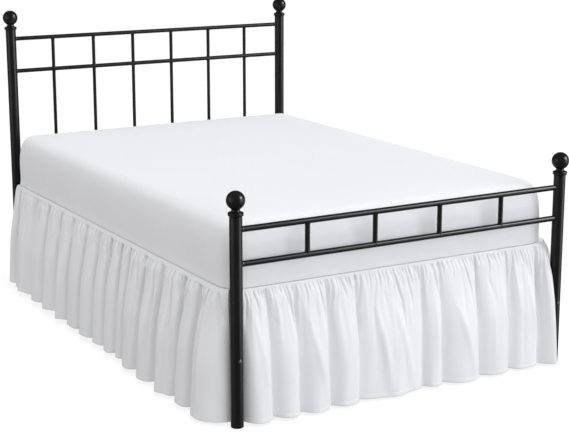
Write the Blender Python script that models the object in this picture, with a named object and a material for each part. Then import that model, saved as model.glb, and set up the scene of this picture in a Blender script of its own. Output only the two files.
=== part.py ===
"""A gathered bed skirt on a metal bed.

Metres, +Z up. The origin is on the floor under the middle of the bed, the foot end is at -Y.
"""
import math

import bmesh
import bpy
import numpy as np

# Driving dimensions of the bed
POST_X = 0.690           # bed centre line to a post's centre
POST_Y = 1.060
POST_RADIUS = 0.02225
POST_SIDES = 24
POST_FOOT_BEVEL = 0.003
FOOT_BALL_Z = 0.790      # centre of the ball over a foot post
HEAD_BALL_Z = 1.2165
BALL_RADIUS = 0.031
GAP = 0.0003             # between pieces that touch

# Turned finial under its ball: radius, height above the ball's centre
FINIAL_FOOT = (
    (0.0215, -0.0520),
    (0.0258, -0.0490),
    (0.0258, -0.0415),
    (0.0205, -0.0365),
    (0.0145, -0.0320),
)
BALL_STEPS = 8
FINIAL_SIDES = 18

# Rails and spindles
FOOT_RAIL_RADIUS = 0.0105
FOOT_SPINDLE_RADIUS = 0.0090
HEAD_RAIL_RADIUS = 0.0090
HEAD_SPINDLE_RADIUS = 0.0075
FOOT_TOP_RAIL_Z = 0.6905
LOW_RAIL_Z = 0.5720
HEAD_TOP_RAIL_Z = 1.1240
HEAD_MIDDLE_RAIL_Z = 0.9790
FOOT_SPINDLES = 4
HEAD_SPINDLES = 6
TUBE_SIDES = 16
TUBE_RECESS = 0.012      # depth of the hollow in a tube's end

# Side rails: a plate with a ledge that carries the box spring
SIDE_PLATE_X = 0.6965    # outer face
SIDE_PLATE_LOW = 0.195
SIDE_PLATE_HIGH = 0.285
SIDE_STEEL = 0.003
LEDGE_TOP = 0.255
LEDGE_WIDTH = 0.038
LEDGE_HALF_Y = 1.000     # it stops short of the posts, clear of the skirt's corners

# Post bolts
BOLT_Z = 0.240
BOLT_RADIUS = 0.0065
BOLT_HEAD = 0.0032
BOLT_SIDES = 14

# Box spring and mattress
BOX_HALF_X = 0.690
BOX_HALF_Y = 1.008
BOX_TOP = 0.468
BOX_CORNER = 0.065
BOX_EDGE = 0.012
MATTRESS_HALF_X = 0.704
MATTRESS_HALF_Y = 1.020
MATTRESS_HEAD_CORNER = 0.050
MATTRESS_FOOT_CORNERS = (0.085, 0.125)   # left, right
MATTRESS_CORNER_STEPS = 6

# Level lines round the mattress. Columns: inset from its widest outline, height over its underside
MATTRESS_LINES = (
    (0.012, 0.000),
    (0.005, 0.003),
    (0.001, 0.010),
    (0.000, 0.048),
    (0.000, 0.100),
    (0.004, 0.152),
    (0.012, 0.184),
    (0.024, 0.206),
    (0.041, 0.220),
    (0.064, 0.2275),
    (0.120, 0.2320),
    (0.240, 0.2345),
)

# Bed skirt
CLOTH = 0.002            # thickness of the cloth
DECK_HALF_X = 0.700
DECK_FOOT_Y = -1.018
DECK_HEAD_Y = 1.012
DECK_CORNER = 0.075
DROP = 0.4575            # seam to hem
SEAM_GAP = 0.0017        # deck's edge to the middle of a ruffle's top edge
SPLIT = math.radians(4)  # from the middle of a foot corner to the end of a ruffle
COLUMN = 0.0165          # cloth between two columns of points

# Rows of points down a ruffle, as drop below the seam
ROW_DROPS = (0.0, 0.007, 0.022, 0.060, 0.125, 0.215, 0.330, DROP)

# The upright edges of the ruffles, as (x, y) for each row of points. A side ruffle's edges
# are those on the left of the bed. The foot ruffle passes both posts on their inner side.
SIDE_HEAD_EDGE = (
    (-0.7017, 1.0120), (-0.7080, 1.0125), (-0.7135, 1.0130), (-0.7190, 1.0145),
    (-0.7260, 1.0165), (-0.7340, 1.0190), (-0.7420, 1.0215), (-0.7500, 1.0240),
)
SIDE_FOOT_EDGE = (
    (-0.6830, -0.9932), (-0.6860, -0.9965), (-0.6905, -1.0030), (-0.6945, -1.0120),
    (-0.6980, -1.0200), (-0.7010, -1.0265), (-0.7005, -1.0305), (-0.6980, -1.0315),
)
FOOT_LEFT_EDGE = (
    (-0.6752, -1.0010), (-0.6755, -1.0040), (-0.6750, -1.0090), (-0.6740, -1.0160),
    (-0.6725, -1.0220), (-0.6710, -1.0270), (-0.6695, -1.0310), (-0.6680, -1.0340),
)
FOOT_RIGHT_EDGE = (
    (0.6752, -1.0010), (0.6790, -1.0110), (0.6760, -1.0300), (0.6625, -1.0580),
    (0.6650, -1.0760), (0.6685, -1.0850), (0.6650, -1.0960), (0.6615, -1.1050),
)
EDGE_REACH = 0.085       # how far along the seam an edge draws the cloth with it

# The folds of each ruffle, in order along its seam. Columns: width, depth from crest to
# valley at the hem, how far the hem leans along the bed, soft ripples within the fold
LEFT_FOLDS = (           # head to foot
    (0.060, 0.016, 0.000, 0),
    (0.212, 0.030, 0.006, 2),
    (0.148, 0.034, 0.000, 0),
    (0.150, 0.038, -0.005, 0),
    (0.133, 0.040, 0.000, 2),
    (0.141, 0.038, 0.004, 0),
    (0.139, 0.043, 0.000, 0),
    (0.114, 0.036, -0.004, 0),
    (0.101, 0.036, 0.000, 0),
    (0.084, 0.028, 0.005, 0),
    (0.142, 0.046, 0.000, 0),
    (0.147, 0.050, 0.004, 0),
    (0.182, 0.052, 0.000, 2),
    (0.125, 0.044, -0.004, 0),
    (0.157, 0.050, 0.000, 0),
)
RIGHT_FOLDS = (          # head to foot
    (0.091, 0.024, 0.000, 0),
    (0.139, 0.036, -0.004, 0),
    (0.122, 0.038, 0.000, 0),
    (0.176, 0.044, 0.005, 2),
    (0.118, 0.036, 0.000, 0),
    (0.149, 0.045, 0.004, 0),
    (0.134, 0.040, 0.000, 0),
    (0.190, 0.046, -0.006, 2),
    (0.108, 0.036, 0.000, 0),
    (0.137, 0.044, 0.003, 0),
    (0.160, 0.048, 0.000, 2),
    (0.096, 0.036, -0.004, 0),
    (0.145, 0.048, 0.000, 0),
    (0.119, 0.044, 0.004, 0),
    (0.134, 0.050, 0.000, 0),
)
FOOT_FOLDS = (           # left to right
    (0.122, 0.040, 0.004, 0),
    (0.109, 0.045, 0.000, 0),
    (0.128, 0.046, -0.002, 0),
    (0.121, 0.044, -0.002, 0),
    (0.283, 0.040, -0.010, 2),
    (0.078, 0.034, -0.010, 0),
    (0.163, 0.050, 0.006, 0),
    (0.144, 0.042, 0.000, 0),
    (0.139, 0.036, -0.004, 0),
    (0.070, 0.010, 0.000, 0),
)

# How far a ruffle stands out from its seam
SHOULDER_OUT = 0.012     # round the box spring's edge, within a few centimetres
SHOULDER_DROP = 0.016
VALLEY_FLARE = 0.030     # of the valleys at the hem
GATHER_DEPTH = 0.005     # fine gathers below the seam
GATHER_DROP = 0.055      # where they are deepest
RIPPLE_DEPTH = 0.007
HEM_RISE = 0.016         # of a side ruffle's hem, from the foot of the bed to the head

# Colours (linear), roughness, metallic
BLACK_PAINT = ((0.012, 0.012, 0.013, 1.0), 0.38, 0.0)
BOLT_BLACK = ((0.05, 0.05, 0.052, 1.0), 0.30, 0.0)
WHITE_COTTON = ((0.84, 0.84, 0.85, 1.0), 0.90, 0.0)
WHITE_SHEET = ((0.82, 0.82, 0.83, 1.0), 0.88, 0.0)
PALE_TICKING = ((0.74, 0.73, 0.70, 1.0), 0.92, 0.0)


def clear_scene():
    for obj in list(bpy.data.objects):
        bpy.data.objects.remove(obj, do_unlink=True)


def make_material(name, finish):
    colour, roughness, metallic = finish
    material = bpy.data.materials.new(name)
    material.use_nodes = True
    shader = material.node_tree.nodes["Principled BSDF"]
    shader.inputs["Base Color"].default_value = colour
    shader.inputs["Roughness"].default_value = roughness
    shader.inputs["Metallic"].default_value = metallic
    return material


def add_object(name, bm, finish, parent, smooth_angle=None):
    """Put a bmesh into a named object with its own material, under an empty."""
    mesh = bpy.data.meshes.new(name)
    bmesh.ops.recalc_face_normals(bm, faces=bm.faces)
    bm.to_mesh(mesh)
    bm.free()
    if smooth_angle is not None:
        mesh.shade_smooth()
        mesh.set_sharp_from_angle(angle=math.radians(smooth_angle))
    mesh.materials.append(make_material(name, finish))
    obj = bpy.data.objects.new(name, mesh)
    bpy.context.collection.objects.link(obj)
    obj.parent = parent
    return obj


def add_empty(name):
    empty = bpy.data.objects.new(name, None)
    bpy.context.collection.objects.link(empty)
    return empty


# Bed frame

def post_mesh(height):
    """A tube post from the floor up, with its lower rim rounded."""
    bm = bmesh.new()
    bmesh.ops.create_cone(
        bm, cap_ends=True, segments=POST_SIDES, radius1=POST_RADIUS, radius2=POST_RADIUS, depth=height
    )
    bmesh.ops.translate(bm, verts=bm.verts, vec=(0, 0, height / 2))
    rim = [edge for edge in bm.edges if max(v.co.z for v in edge.verts) < 1e-6]
    bmesh.ops.bevel(bm, geom=rim, offset=POST_FOOT_BEVEL, segments=2, affect="EDGES", profile=0.5)
    return bm


def finial_mesh():
    """Collar, neck and ball, turned about Z with the ball's centre at the origin."""
    neck_radius = FINIAL_FOOT[-1][0]
    start = math.asin(neck_radius / BALL_RADIUS)
    outline = [(0.0, FINIAL_FOOT[0][1]), *FINIAL_FOOT]
    for step in range(BALL_STEPS):
        angle = start + (math.pi - start) * step / BALL_STEPS
        outline.append((BALL_RADIUS * math.sin(angle), -BALL_RADIUS * math.cos(angle)))
    outline.append((0.0, BALL_RADIUS))
    bm = bmesh.new()
    points = [bm.verts.new((radius, 0.0, height)) for radius, height in outline]
    edges = [bm.edges.new(pair) for pair in zip(points, points[1:])]
    bmesh.ops.spin(
        bm, geom=points + edges, cent=(0, 0, 0), axis=(0, 0, 1), angle=2 * math.pi, steps=FINIAL_SIDES
    )
    bmesh.ops.remove_doubles(bm, verts=bm.verts, dist=1e-6)
    return bm


def coped_tube_mesh(radius, span, low_host, high_host):
    """A tube along Z between two round hosts that lie along X, its ends shaped to them.

    span is the distance between the hosts' centre lines, low_host and high_host their radii.
    """
    bm = bmesh.new()
    bmesh.ops.create_cone(
        bm, cap_ends=True, cap_tris=True, segments=TUBE_SIDES, radius1=radius, radius2=radius, depth=span
    )
    for vert in bm.verts:
        side = 1 if vert.co.z > 0 else -1
        host = high_host if side > 0 else low_host
        at_wall = math.hypot(vert.co.x, vert.co.y) > radius / 2
        reach = math.sqrt(host ** 2 - vert.co.y ** 2) if at_wall else host + TUBE_RECESS
        vert.co.z = side * (span / 2 - reach - GAP)
    return bm


def spindle_places(count):
    """Centres of equal bays between the two posts."""
    bay = 2 * POST_X / (count + 1)
    return [-POST_X + bay * (i + 1) for i in range(count)]


def add_posts(bed):
    collar_low = -FINIAL_FOOT[0][1]
    for end, y, ball_z in (("foot", -POST_Y, FOOT_BALL_Z), ("head", POST_Y, HEAD_BALL_Z)):
        for side, x in (("left", -POST_X), ("right", POST_X)):
            post = add_object(
                f"post_{end}_{side}", post_mesh(ball_z - collar_low - GAP), BLACK_PAINT, bed, 40
            )
            post.location = (x, y, 0)
            finial = add_object(f"finial_{end}_{side}", finial_mesh(), BLACK_PAINT, bed, 40)
            finial.location = (x, y, ball_z)


def add_rail(name, radius, y, z, bed):
    """A round rail along X between two posts."""
    rail = add_object(
        name, coped_tube_mesh(radius, 2 * POST_X, POST_RADIUS, POST_RADIUS), BLACK_PAINT, bed, 40
    )
    rail.rotation_euler = (0, math.pi / 2, 0)
    rail.location = (0, y, z)


def add_spindles(prefix, count, radius, host, y, low_z, high_z, bed):
    for number, x in enumerate(spindle_places(count), 1):
        spindle = add_object(
            f"{prefix}_{number}", coped_tube_mesh(radius, high_z - low_z, host, host), BLACK_PAINT, bed, 40
        )
        spindle.location = (x, y, (low_z + high_z) / 2)


def add_headboard(bed):
    for name, z in (("top", HEAD_TOP_RAIL_Z), ("middle", HEAD_MIDDLE_RAIL_Z), ("low", LOW_RAIL_Z)):
        add_rail(f"head_rail_{name}", HEAD_RAIL_RADIUS, POST_Y, z, bed)
    for part, low_z, high_z in (
        ("upper", HEAD_MIDDLE_RAIL_Z, HEAD_TOP_RAIL_Z),
        ("lower", LOW_RAIL_Z, HEAD_MIDDLE_RAIL_Z),
    ):
        add_spindles(
            f"head_spindle_{part}", HEAD_SPINDLES, HEAD_SPINDLE_RADIUS, HEAD_RAIL_RADIUS,
            POST_Y, low_z, high_z, bed,
        )


def add_footboard(bed):
    for name, z in (("top", FOOT_TOP_RAIL_Z), ("low", LOW_RAIL_Z)):
        add_rail(f"foot_rail_{name}", FOOT_RAIL_RADIUS, -POST_Y, z, bed)
    add_spindles(
        "foot_spindle", FOOT_SPINDLES, FOOT_SPINDLE_RADIUS, FOOT_RAIL_RADIUS,
        -POST_Y, LOW_RAIL_Z, FOOT_TOP_RAIL_Z, bed,
    )


def side_rail_mesh():
    """The left rail: a plate between two posts, with a ledge inside that stops short of them."""
    inner = -SIDE_PLATE_X + SIDE_STEEL
    half = POST_Y - POST_RADIUS - GAP
    levels = (SIDE_PLATE_LOW, LEDGE_TOP - SIDE_STEEL, LEDGE_TOP, SIDE_PLATE_HIGH)
    bm = bmesh.new()
    rows = [
        [bm.verts.new((inner, y, z)) for y in (-half, -LEDGE_HALF_Y, LEDGE_HALF_Y, half)] for z in levels
    ]
    back = [bm.verts.new((-SIDE_PLATE_X, y, z)) for z in (levels[0], levels[-1]) for y in (-half, half)]
    root = [rows[1][1], rows[1][2], rows[2][2], rows[2][1]]
    rim = [bm.verts.new((-SIDE_PLATE_X + LEDGE_WIDTH, vert.co.y, vert.co.z)) for vert in root]
    for row in range(3):
        for column in range(3):
            if (row, column) != (1, 1):
                lower, upper = rows[row], rows[row + 1]
                bm.faces.new((lower[column], lower[column + 1], upper[column + 1], upper[column]))
    for i in range(4):
        bm.faces.new((root[i - 1], root[i], rim[i], rim[i - 1]))
    bm.faces.new(rim)
    bm.faces.new((back[0], back[1], back[3], back[2]))
    bm.faces.new(rows[0] + [back[1], back[0]])
    bm.faces.new(rows[-1] + [back[3], back[2]])
    bm.faces.new([row[0] for row in rows] + [back[2], back[0]])
    bm.faces.new([row[-1] for row in rows] + [back[3], back[1]])
    return bm


def add_side_rails(bed):
    add_object("side_rail_left", side_rail_mesh(), BLACK_PAINT, bed)
    right = add_object("side_rail_right", side_rail_mesh(), BLACK_PAINT, bed)
    right.rotation_euler = (0, 0, math.pi)


def bolt_mesh():
    """A low button head on the front of a post whose centre line is the local Z axis."""
    seat = POST_RADIUS + 2 * GAP
    bm = bmesh.new()
    bmesh.ops.create_cone(
        bm, cap_ends=True, cap_tris=True, segments=BOLT_SIDES,
        radius1=BOLT_RADIUS, radius2=0.6 * BOLT_RADIUS, depth=1,
    )
    for vert in bm.verts:
        front = vert.co.z > 0
        x, z = vert.co.x, vert.co.y
        back = math.sqrt(seat ** 2 - x ** 2)
        reach = seat + BOLT_HEAD if front else back
        vert.co = (x, -reach, z)
    return bm


def add_bolts(bed):
    for end, y, turn in (("foot", -POST_Y, 0.0), ("head", POST_Y, math.pi)):
        for side, x in (("left", -POST_X), ("right", POST_X)):
            bolt = add_object(f"bolt_{end}_{side}", bolt_mesh(), BOLT_BLACK, bed, 30)
            bolt.location = (x, y, BOLT_Z)
            bolt.rotation_euler = (0, 0, turn)


# Box spring and mattress

def block_mesh(half_x, half_y, low, high, corner, corner_steps):
    """A block with its four upright corners rounded."""
    bm = bmesh.new()
    bmesh.ops.create_cube(bm, size=1)
    bmesh.ops.scale(bm, verts=bm.verts, vec=(2 * half_x, 2 * half_y, high - low))
    bmesh.ops.translate(bm, verts=bm.verts, vec=(0, 0, (low + high) / 2))
    uprights = [e for e in bm.edges if abs(e.verts[0].co.z - e.verts[1].co.z) > (high - low) / 2]
    bmesh.ops.bevel(bm, geom=uprights, offset=corner, segments=corner_steps, affect="EDGES", profile=0.5)
    return bm


def round_rim(bm, height, radius, steps):
    """Round the edge between the walls and the flat face at one height."""
    rim = [e for e in bm.edges if all(abs(v.co.z - height) < 1e-6 for v in e.verts)]
    bmesh.ops.bevel(bm, geom=rim, offset=radius, segments=steps, affect="EDGES", profile=0.5)


def add_box_spring(bed):
    low = LEDGE_TOP + GAP
    bm = block_mesh(BOX_HALF_X, BOX_HALF_Y, low, BOX_TOP, BOX_CORNER, 5)
    for height in (low, BOX_TOP):
        round_rim(bm, height, BOX_EDGE, 2)
    add_object("box_spring", bm, PALE_TICKING, bed, 50)


def mattress_line(inset, height):
    """Points of a level outline. Its corners are tight at the head and wide at the foot."""
    half_x = MATTRESS_HALF_X - inset
    half_y = MATTRESS_HALF_Y - inset
    points = []
    for quarter, (side, end) in enumerate(((1, 1), (-1, 1), (-1, -1), (1, -1))):
        corner = MATTRESS_HEAD_CORNER if end > 0 else MATTRESS_FOOT_CORNERS[side > 0]
        radius = max(corner - 0.6 * inset, 0.02)
        for step in range(MATTRESS_CORNER_STEPS + 1):
            angle = 0.5 * math.pi * (quarter + step / MATTRESS_CORNER_STEPS)
            x = side * (half_x - radius) + radius * math.cos(angle)
            y = end * (half_y - radius) + radius * math.sin(angle)
            points.append((x, y, height))
    return points


def add_mattress(bed):
    """A plump block with a slightly crowned top that is flat in the middle."""
    low = BOX_TOP + CLOTH + 3 * GAP
    bm = bmesh.new()
    lines = [[bm.verts.new(p) for p in mattress_line(inset, low + up)] for inset, up in MATTRESS_LINES]
    for lower, upper in zip(lines, lines[1:]):
        for i, vert in enumerate(lower):
            bm.faces.new((lower[i - 1], vert, upper[i], upper[i - 1]))
    bm.faces.new(lines[0])
    bm.faces.new(lines[-1])
    add_object("mattress", bm, WHITE_SHEET, bed, 50)


# Bed skirt

def deck_z():
    return BOX_TOP + GAP + CLOTH / 2


def add_cloth(name, bm, skirt, smooth_angle=None):
    """A sheet of cloth, half its thickness on each side of the mesh."""
    sheet = add_object(name, bm, WHITE_COTTON, skirt, smooth_angle)
    solidify = sheet.modifiers.new("cloth", "SOLIDIFY")
    solidify.thickness = CLOTH
    solidify.offset = 0
    return sheet


def corner_arc(centre, first, last, steps):
    """Points of the deck's rounded corner between two angles."""
    angles = np.linspace(first, last, steps)
    return centre + DECK_CORNER * np.stack([np.cos(angles), np.sin(angles)], axis=1)


def add_deck(skirt):
    """The platform cloth: the outline of the box spring, rounded at the foot corners."""
    right = np.array([DECK_HALF_X - DECK_CORNER, DECK_FOOT_Y + DECK_CORNER])
    left = right * (-1, 1)
    outline = np.concatenate([
        [(DECK_HALF_X, DECK_HEAD_Y), (-DECK_HALF_X, DECK_HEAD_Y)],
        corner_arc(left, math.pi, 1.5 * math.pi, 9),
        corner_arc(right, 1.5 * math.pi, 2 * math.pi, 9),
    ])
    bm = bmesh.new()
    bm.faces.new([bm.verts.new((x, y, 0)) for x, y in outline])
    deck = add_cloth("deck", bm, skirt)
    deck.location = (0, 0, deck_z())


def side_seam(along):
    """Seam of the left ruffle: straight from the head, then round the foot corner.

    along is the distance from the head end; gives the points and the outward directions.
    """
    straight = DECK_HEAD_Y - (DECK_FOOT_Y + DECK_CORNER)
    turn = np.clip((along - straight) / DECK_CORNER, 0, None)
    x = -(DECK_HALF_X - DECK_CORNER) - DECK_CORNER * np.cos(turn)
    y = DECK_HEAD_Y - np.minimum(along, straight) - DECK_CORNER * np.sin(turn)
    return np.stack([x, y], axis=-1), np.stack([-np.cos(turn), -np.sin(turn)], axis=-1)


def foot_seam(along):
    """Seam of the foot ruffle: part of the left corner, straight, part of the right corner."""
    straight = 2 * (DECK_HALF_X - DECK_CORNER)
    before = (0.25 * math.pi - SPLIT) * DECK_CORNER
    left_turn = np.clip((before - along) / DECK_CORNER, 0, None)
    right_turn = np.clip((along - before - straight) / DECK_CORNER, 0, None)
    turn = right_turn - left_turn
    x = np.clip(along - before, 0, straight) - straight / 2 + DECK_CORNER * np.sin(turn)
    y = DECK_FOOT_Y + DECK_CORNER - DECK_CORNER * np.cos(turn)
    fan = 0.3 * turn
    return np.stack([x, y], axis=-1), np.stack([np.sin(fan), -np.cos(fan)], axis=-1)


def smooth_step(value, low, high):
    share = np.clip((value - low) / (high - low), 0, 1)
    return share * share * (3 - 2 * share)


def fold_columns(folds, length):
    """Where the columns of points lie in each fold, and what the fold's table row says.

    The lean passes evenly from the middle of one fold to the middle of the next.
    """
    scale = length / sum(fold[0] for fold in folds)
    rows = []
    start = 0.0
    for width, depth, lean, ripples in folds:
        width = width * scale
        steps = max(5, round(width / COLUMN))
        for step in range(steps):
            rows.append((start + width * step / steps, step / steps, depth, lean, ripples, steps))
        start += width
    rows.append((start, 1.0, folds[-1][1], folds[-1][2], 0, 4))
    table = np.array(rows).T
    ends = np.cumsum([fold[0] * scale for fold in folds])
    middles = ends - 0.5 * scale * np.array([fold[0] for fold in folds])
    table[3] = np.interp(table[0], middles, [fold[2] for fold in folds])
    return table


def ruffle_mesh(seam, folds, length, first_edge, last_edge, rise=0.0):
    """The middle surface of a ruffle: columns along the seam, rows down to the hem.

    A point lies out from the seam by the shoulder, the flare, and its fold's depth, which
    grows from nothing at the seam to the table's depth. Between two valleys the fold bulges
    as a mix of a sine and its flatter double, so crests are broad and valleys narrow. Near
    an end the cloth moves with that end's point to its place on the upright edge. rise is
    how much shorter the drop is at the first end than at the last.
    """
    along, phase, depth, lean, ripples, steps = fold_columns(folds, length)
    sine = np.sin(np.pi * phase)
    bulge = 0.5 * sine + 0.5 * (2 * sine - sine ** 2)
    soft = np.where(ripples > 0, RIPPLE_DEPTH * np.cos(2 * np.pi * phase * ripples) * sine, 0)
    gathers = np.sin(np.pi * phase * np.round(steps / 4)) ** 2
    at_first = 1 - smooth_step(along, 0.0, EDGE_REACH)
    at_last = smooth_step(along, length - EDGE_REACH, length)
    place, outward = seam(along)
    way = np.stack([-outward[:, 1], outward[:, 0]], axis=-1)
    if np.dot(way[0], place[1] - place[0]) < 0:
        way = -way
    rows = []
    for drop, first, last in zip(ROW_DROPS, first_edge, last_edge):
        grown = 0.18 * smooth_step(drop, 0.0, 0.03) + 0.82 * smooth_step(drop, 0.01, 0.62 * DROP)
        fine = math.exp(-(((drop - GATHER_DROP) / 0.05) ** 2)) * smooth_step(drop, 0.0, 0.03)
        out = SEAM_GAP + SHOULDER_OUT * (1 - math.exp(-drop / SHOULDER_DROP)) + VALLEY_FLARE * drop / DROP
        out = out + depth * bulge * grown + fine * GATHER_DEPTH * gathers
        out = out + soft * smooth_step(drop, 0.05, 0.3)
        plan = place + outward * out[:, None] + way * (lean * drop / DROP)[:, None]
        plan += (np.array(first) - plan[0]) * at_first[:, None]
        plan += (np.array(last) - plan[-1]) * at_last[:, None]
        height = deck_z() - drop + rise * (1 - along / length) * drop / DROP
        rows.append(np.column_stack([plan, height]))
    bm = bmesh.new()
    grid = [[bm.verts.new(point) for point in row] for row in rows]
    for upper, lower in zip(grid, grid[1:]):
        for i in range(len(upper) - 1):
            bm.faces.new((upper[i], upper[i + 1], lower[i + 1], lower[i]))
    return bm


def add_side_ruffle(name, folds, skirt, mirrored):
    straight = DECK_HEAD_Y - (DECK_FOOT_Y + DECK_CORNER)
    length = straight + (0.25 * math.pi - SPLIT) * DECK_CORNER
    bm = ruffle_mesh(side_seam, folds, length, SIDE_HEAD_EDGE, SIDE_FOOT_EDGE, HEM_RISE)
    if mirrored:
        bmesh.ops.scale(bm, verts=bm.verts, vec=(-1, 1, 1))
    add_cloth(name, bm, skirt, 60)


def add_foot_ruffle(skirt):
    length = 2 * (DECK_HALF_X - DECK_CORNER) + 2 * (0.25 * math.pi - SPLIT) * DECK_CORNER
    bm = ruffle_mesh(foot_seam, FOOT_FOLDS, length, FOOT_LEFT_EDGE, FOOT_RIGHT_EDGE)
    add_cloth("ruffle_foot", bm, skirt, 60)


def main():
    clear_scene()
    bed = add_empty("bed")
    skirt = add_empty("skirt")
    add_posts(bed)
    add_headboard(bed)
    add_footboard(bed)
    add_side_rails(bed)
    add_bolts(bed)
    add_box_spring(bed)
    add_mattress(bed)
    add_deck(skirt)
    add_side_ruffle("ruffle_left", LEFT_FOLDS, skirt, False)
    add_side_ruffle("ruffle_right", RIGHT_FOLDS, skirt, True)
    add_foot_ruffle(skirt)


main()
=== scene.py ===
import math

import bmesh
import bpy
import numpy as np
from mathutils import Euler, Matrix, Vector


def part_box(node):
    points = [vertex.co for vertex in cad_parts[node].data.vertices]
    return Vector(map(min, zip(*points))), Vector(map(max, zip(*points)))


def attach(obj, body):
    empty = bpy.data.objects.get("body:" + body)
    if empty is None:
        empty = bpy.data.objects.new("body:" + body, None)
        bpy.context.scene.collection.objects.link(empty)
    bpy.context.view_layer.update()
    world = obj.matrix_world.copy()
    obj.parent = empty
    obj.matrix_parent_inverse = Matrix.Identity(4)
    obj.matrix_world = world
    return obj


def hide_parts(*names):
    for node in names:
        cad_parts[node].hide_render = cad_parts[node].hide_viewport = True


# A gathered bed skirt on a black metal bed. Metres, +Z up, foot of the bed at -Y.

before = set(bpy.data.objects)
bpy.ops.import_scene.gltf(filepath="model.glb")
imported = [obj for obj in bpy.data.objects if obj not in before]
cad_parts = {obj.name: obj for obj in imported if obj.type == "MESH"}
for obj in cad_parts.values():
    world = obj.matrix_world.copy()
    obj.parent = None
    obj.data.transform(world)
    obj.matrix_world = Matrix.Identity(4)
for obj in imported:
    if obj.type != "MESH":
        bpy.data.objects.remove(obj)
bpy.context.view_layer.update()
print("frame loaded:", len(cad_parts), "nodes")


weldDistance = 1e-6


def gridQuads(rows, columns, closed):
    # The quads between neighbours of a grid of points numbered row by row. closed joins the last
    # column to the first.
    row, column = np.meshgrid(
        np.arange(rows - 1), np.arange(columns if closed else columns - 1), indexing="ij")
    nextColumn = (column + 1) % columns
    return np.stack([
        row * columns + column, row * columns + nextColumn,
        (row + 1) * columns + nextColumn, (row + 1) * columns + column,
    ], axis=-1).reshape(-1, 4)


def gridMesh(name, points, uv=None, closed=False, merge=False):
    # Rows by columns of points as a mesh. uv is one pair per point. merge welds the poles and
    # turns the faces outwards.
    mesh = bpy.data.meshes.new(name)
    quads = gridQuads(*points.shape[:2], closed)
    mesh.from_pydata(points.reshape(-1, 3).tolist(), [], quads.tolist())
    if uv is not None:
        layer = mesh.uv_layers.new(name="cloth")
        corner = np.zeros(len(mesh.loops), np.int32)
        mesh.loops.foreach_get("vertex_index", corner)
        layer.data.foreach_set("uv", uv.reshape(-1, 2)[corner].ravel().astype(np.float32))
    if merge:
        bm = bmesh.new()
        bm.from_mesh(mesh)
        bmesh.ops.remove_doubles(bm, verts=bm.verts, dist=weldDistance)
        bmesh.ops.recalc_face_normals(bm, faces=bm.faces)
        bm.to_mesh(mesh)
        bm.free()
    mesh.shade_smooth()
    return mesh


def addPiece(name, mesh, material, nodes=(), sharp=None):
    # A mesh becomes a piece of the bed and takes the place of its CAD nodes.
    piece = bpy.data.objects.new(name, mesh)
    bpy.context.scene.collection.objects.link(piece)
    mesh.materials.append(material)
    if sharp is not None:
        mesh.set_sharp_from_angle(angle=math.radians(sharp))
    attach(piece, "root")
    if nodes:
        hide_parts(*nodes)
    return piece


def smoothStep(value, low, high):
    # From 0 at low to 1 at high, as 3 t^2 - 2 t^3.
    share = np.clip((value - low) / (high - low), 0, 1)
    return share * share * (3 - 2 * share)


def bump(value, middle, width):
    # A soft bell of height one: exp(-((value - middle) / width)^2).
    return np.exp(-((value - middle) / width) ** 2)


noiseLook = {"sines": 7, "lengths": (0.6, 1.8), "divisor": 3.2}


def softNoise(places, wave, seed):
    # Smooth noise between about -1 and 1 along a line: the sum of sin(2 pi s / length + start)
    # over sines of seeded length and start, divided by a constant.
    look = noiseLook
    draw = np.random.default_rng(seed)
    waves = wave * draw.uniform(*look["lengths"], look["sines"])
    starts = draw.uniform(0, 2 * math.pi, look["sines"])
    return np.sin(places[..., None] * 2 * math.pi / waves + starts).sum(-1) / look["divisor"]


class Value:
    # A socket that takes part in Python arithmetic: each operator adds a Math node.
    def __init__(self, nodes, socket):
        self.nodes = nodes
        self.socket = socket

    def maths(self, operation, first, second=0.0, clamp=False):
        settings = {"operation": operation, "use_clamp": clamp}
        return self.nodes.node("ShaderNodeMath", settings, {0: first, 1: second})

    def __add__(self, other):
        return self.maths("ADD", self, other)

    __radd__ = __add__

    def __sub__(self, other):
        return self.maths("SUBTRACT", self, other)

    def __rsub__(self, other):
        return self.maths("SUBTRACT", other, self)

    def __mul__(self, other):
        return self.maths("MULTIPLY", self, other)

    __rmul__ = __mul__

    def __pow__(self, other):
        return self.maths("POWER", self, other)

    def sine(self):
        return self.maths("SINE", self)

    def size(self):
        return self.maths("ABSOLUTE", self)

    def within(self):
        return self.maths("ADD", self, 0.0, clamp=True)

    def above(self):
        return self.maths("MAXIMUM", self, 0.0)


class Nodes:
    # A node tree under construction: one method adds any node.
    def __init__(self, tree):
        self.tree = tree

    def node(self, kind, settings=None, sockets=None, out=0):
        made = self.tree.nodes.new(kind)
        for key, value in (settings or {}).items():
            setattr(made, key, value)
        for key, value in (sockets or {}).items():
            if isinstance(value, Value):
                self.tree.links.new(value.socket, made.inputs[key])
            else:
                made.inputs[key].default_value = value
        return Value(self, made.outputs[out])


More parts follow.
